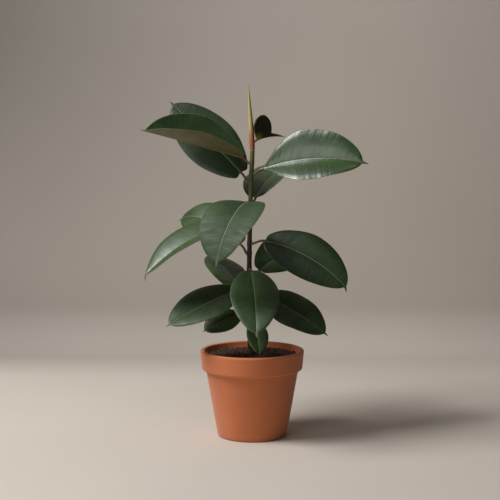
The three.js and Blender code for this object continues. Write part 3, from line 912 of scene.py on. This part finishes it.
def walk(start, length, share, angles_at):
    """Places at shares of a path that sets out from start and keeps to the angles."""
    fine = np.linspace(0, 1, WALK_STEPS + 1)
    along = directions(*angles_at((fine[1:] + fine[:-1]) / 2))[0]
    path = np.vstack([np.zeros(3), np.cumsum(along, 0) * (length / WALK_STEPS)])
    return start + np.stack([np.interp(share, fine, path[:, k]) for k in range(3)], -1)


def blade_shares(length):
    """Stations along a blade, close together at its base, over its veins and at its drip tip."""
    base = np.array([0, 0.002, 0.005, 0.009, 0.014, 0.02, 0.027, 0.035])
    steps = max(int(length / VEIN_SPACING * 4.5), 30)
    middle = np.linspace(0.043, 0.93, steps)
    tip = np.array([0.937, 0.943, 0.948, 0.953, 0.958, 0.964, 0.971, 0.98, 0.99])
    return np.concatenate([base, middle, tip])


def circle_ring(count):
    """Sides of a round section, listed as a blade's ring is: left, over the top, right, and back below."""
    angles = math.pi * (1 - np.arange(count) / (count / 2))
    return np.cos(angles), np.sin(angles)


def blade_section(leaf, share, half, made_waves):
    """The middle surface of a blade, its side direction and the measures that the relief on either face is
    drawn from.
    """
    across = np.concatenate([HALF_ACROSS[::-1], -HALF_ACROSS[1:]])
    out = np.abs(across)[None, :]
    rib = half[:, None] * across[None, :]
    lift = np.radians(leaf["fold"] + leaf["cup"] * out * 0.5)
    soft_out = np.sqrt(out**2 + CREASE**2) - CREASE
    run = (share * leaf["length"])[:, None]
    vein = (run - VEIN_SLANT * np.abs(rib)) / VEIN_SPACING
    inner = ease(out, 0.04, 0.3)
    wave = FINE_WAVE * ripple(vein * VEIN_SPACING, made_waves[0]) * inner
    wave = wave + MARGIN_WAVE * ripple(run + 0 * out, made_waves[1]) * out**3
    wave = wave + leaf["arch"] * half[:, None] * np.sin(math.pi * np.minimum(out, 1) ** 0.8)
    wave = wave - MARGIN_TURN * ease(out, 0.78, 1.02)
    room = np.minimum(half[:, None] / 12, 1)
    sideways = -rib * np.cos(lift)
    height = half[:, None] * soft_out * np.sin(lift) + wave * room
    back = leaf["heart"] * np.maximum(1 - share / HEART_REACH, 0)[:, None] * out
    back = back * np.minimum(np.abs(rib) / 12, 1) - leaf["forward"] * np.abs(rib)
    lean = lift * np.tanh(across[None, :] / 0.05)
    return dict(out=out, rib=rib, vein=vein, run=run, sideways=sideways, height=height, back=back, lean=lean)


def relief(section, share, thickness):
    """How far the top and the underside stand from the middle surface."""
    slim = (1 - RIB_NARROWING * share)[:, None]
    rib = np.abs(section["rib"])
    rounded = np.sqrt(np.maximum(1 - section["out"] ** 40, 0))
    line = np.abs(np.mod(section["vein"] + 0.5, 1) - 0.5) * VEIN_SPACING
    vein = VEIN_DEPTH * np.exp(-((line / VEIN_WIDTH) ** 2)) * ease(section["out"], 0.03, 0.12)
    vein = vein * (1 - ease(section["out"], 0.85, 0.98))
    ridge = RIB_RIDGE * np.exp(-((rib / (RIB_RIDGE_WIDTH * slim)) ** 2))
    groove = slim * (ridge - RIB_GROOVE * np.exp(-((rib / (RIB_GROOVE_WIDTH * slim)) ** 2)))
    keel = KEEL_DEPTH * (1 - share)[:, None] * np.exp(-((rib / (KEEL_HALF_WIDTH * slim)) ** 2))
    top = (thickness / 2) * rounded + (groove - vein) * rounded
    under = (thickness / 2) * rounded + (keel + 1.5 * vein) * rounded
    return top, under


def leaf_surface(leaf, outline, thickness, made_waves):
    """Rings of a leaf from its foot on the stem to its tip, in millimetres, with what its material reads."""
    share_on_stem = (LOWEST_LEAF + (STEM_LENGTH / MM - LOWEST_LEAF) * leaf["at"]) / (STEM_LENGTH / MM)
    outward = directions(leaf["heading"], 0, 0)[0]
    foot_radius = stem_radius(share_on_stem) / MM - STALK_IN_BARK
    start = stem_centre(share_on_stem) / MM + outward * foot_radius
    count = 4 * (len(HALF_ACROSS) - 1)
    side, above = circle_ring(count)

    share = np.linspace(0, 1, STALK_ROWS) ** 1.4
    length = leaf["petiole"] + STALK_IN_BARK
    place = walk(start, length, share, lambda t: petiole_angles(leaf, t))
    _, right, up = directions(*petiole_angles(leaf, share))
    collar = STALK_COLLAR * np.exp(-share * length / COLLAR_LENGTH)
    radius = PETIOLE_RADIUS + PETIOLE_FOOT_FLARE * (1 - share) ** 4 + collar
    round_ring = right[:, None] * side[None, :, None] + up[:, None] * above[None, :, None]
    stalk = place[:, None] + radius[:, None, None] * round_ring

    base = place[-1]
    share = blade_shares(leaf["length"])
    place = walk(base, leaf["length"], share, lambda t: blade_angles(leaf, t))
    tip = walk(base, leaf["length"], np.array([1.0]), lambda t: blade_angles(leaf, t))[0]
    along, right, up = directions(*blade_angles(leaf, share))
    half = leaf["width"] / 2 * outline(share, leaf)
    section = blade_section(leaf, share, half, made_waves)
    top, under = relief(section, share, thickness)

    def surface(depth):
        x = section["sideways"] + depth * np.sin(section["lean"])
        z = section["height"] + depth * np.cos(section["lean"])
        return (place[:, None] - along[:, None] * section["back"][..., None]
                + right[:, None] * x[..., None] + up[:, None] * z[..., None])

    blade = np.concatenate([surface(top), surface(-under)[:, -2:0:-1]], 1)
    round_ring = right[:, None] * side[None, :, None] + up[:, None] * above[None, :, None]
    round_part = place[:, None] + PETIOLE_RADIUS * round_ring
    joined = ease(share, 0, JOIN_END)[:, None, None]
    blade = round_part * (1 - joined) + blade * joined
    rings = np.concatenate([stalk, blade[1:]], 0)
    return rings, start, tip, share, half, section


def leaf_attributes(leaf, share, half, section, seed):
    """What the material reads at each point: distances in millimetres, the vein's number and the side."""

    def fold(values):
        return np.concatenate([values, values[:, -2:0:-1]], 1)

    rows, width = section["rib"].shape
    count = 2 * width - 2
    side = np.concatenate([np.ones((rows, width)), np.zeros((rows, width - 2))], 1)
    side[:, [0, width - 1]] = 0.5
    thin = MIDRIB_HALF_WIDTH * (1 - RIB_NARROWING * share)[:, None]
    blade = dict(
        rib=fold(np.abs(section["rib"])),
        run=fold(section["run"] + 0 * section["rib"]),
        vein=fold(section["vein"]),
        edge=fold((1 - section["out"]) * half[:, None]),
        midrib=fold(np.abs(section["rib"]) / thin),
        side=side,
        stalk=np.broadcast_to(1 - ease(share, 0.004, JOIN_END)[:, None], (rows, count)),
        tip_shade=np.broadcast_to(leaf["tip_shade"] * ease(share, TIP_SHADE_START, TIP_SHADE_END)[:, None], (rows, count)),
    )
    plain = dict(rib=0, run=0, vein=0, edge=9, midrib=9, side=1, stalk=1, tip_shade=0)
    at_tip = dict(rib=0, run=leaf["length"], vein=leaf["length"] / VEIN_SPACING, edge=0, midrib=0, side=1,
                  stalk=0, tip_shade=leaf["tip_shade"])
    made = {}
    for key, values in blade.items():
        stalk = np.full((STALK_ROWS, count), float(plain[key]))
        made[key] = np.concatenate([stalk.ravel(), values[1:].ravel(), [plain[key], at_tip[key]]])
    made["seed"] = np.full(len(made["rib"]), float(seed))
    return made


def build_leaf(name, node, leaf, outline, thickness, material, seed):
    made_waves = (waves(*FINE_WAVES), waves(*MARGIN_WAVES))
    rings, start, tip, share, half, section = leaf_surface(leaf, outline, thickness, made_waves)
    points, faces = closed_rings(rings, start, tip)
    attributes = leaf_attributes(leaf, share, half, section, seed)
    piece = add_mesh(name, points * MM, faces, material, **attributes)
    place_piece(piece, node)


def build_leaves():
    for number, row in enumerate(LEAVES, 1):
        node = f"leaf_{number:02d}"
        leaf = {**PLAIN, **row}
        material = leaf_material(node, leaf)
        build_leaf(node + "_blade", node, leaf, grown_outline, THICKNESS, material, number * 3.7)
    young = {**PLAIN, **YOUNG_LEAF}
    build_leaf("young_leaf_fold", "young_leaf", young, young_outline, YOUNG_THICKNESS,
               young_leaf_material(), 0)


# ---- Stage ----


def build_stage():
    """The floor and the wall as one sheet that turns up in a soft curve."""
    curve = arc(FLOOR_EDGE - FLOOR_CURVE, FLOOR_CURVE, FLOOR_CURVE, -90, 0, 13)
    profile = np.vstack([[(STAGE_FRONT, 0)], curve, [(FLOOR_EDGE, STAGE_TOP)]])
    points = [(x, y, z) for y, z in profile for x in (-STAGE_HALF_WIDTH, STAGE_HALF_WIDTH)]
    faces = [(2 * k, 2 * k + 1, 2 * k + 3, 2 * k + 2) for k in range(len(profile) - 1)]
    add_mesh("stage", points, faces, stage_material())


bpy.context.scene.view_settings.view_transform = "Standard"
add_camera()
add_world()
add_soft_light("key", KEY_PLACE, KEY_SIZE, KEY_POWER, KEY_COLOUR)
add_soft_light("side", SIDE_PLACE, SIDE_SIZE, SIDE_POWER, FILL_COLOUR)
add_soft_light("top", TOP_PLACE, TOP_SIZE, TOP_POWER, FILL_COLOUR)
build_stage()
build_pot()
build_soil()
build_stem([SOIL_TOP + MM * (LOWEST_LEAF + (STEM_LENGTH / MM - LOWEST_LEAF) * row["at"]) for row in LEAVES])
build_sheath()
build_leaves()
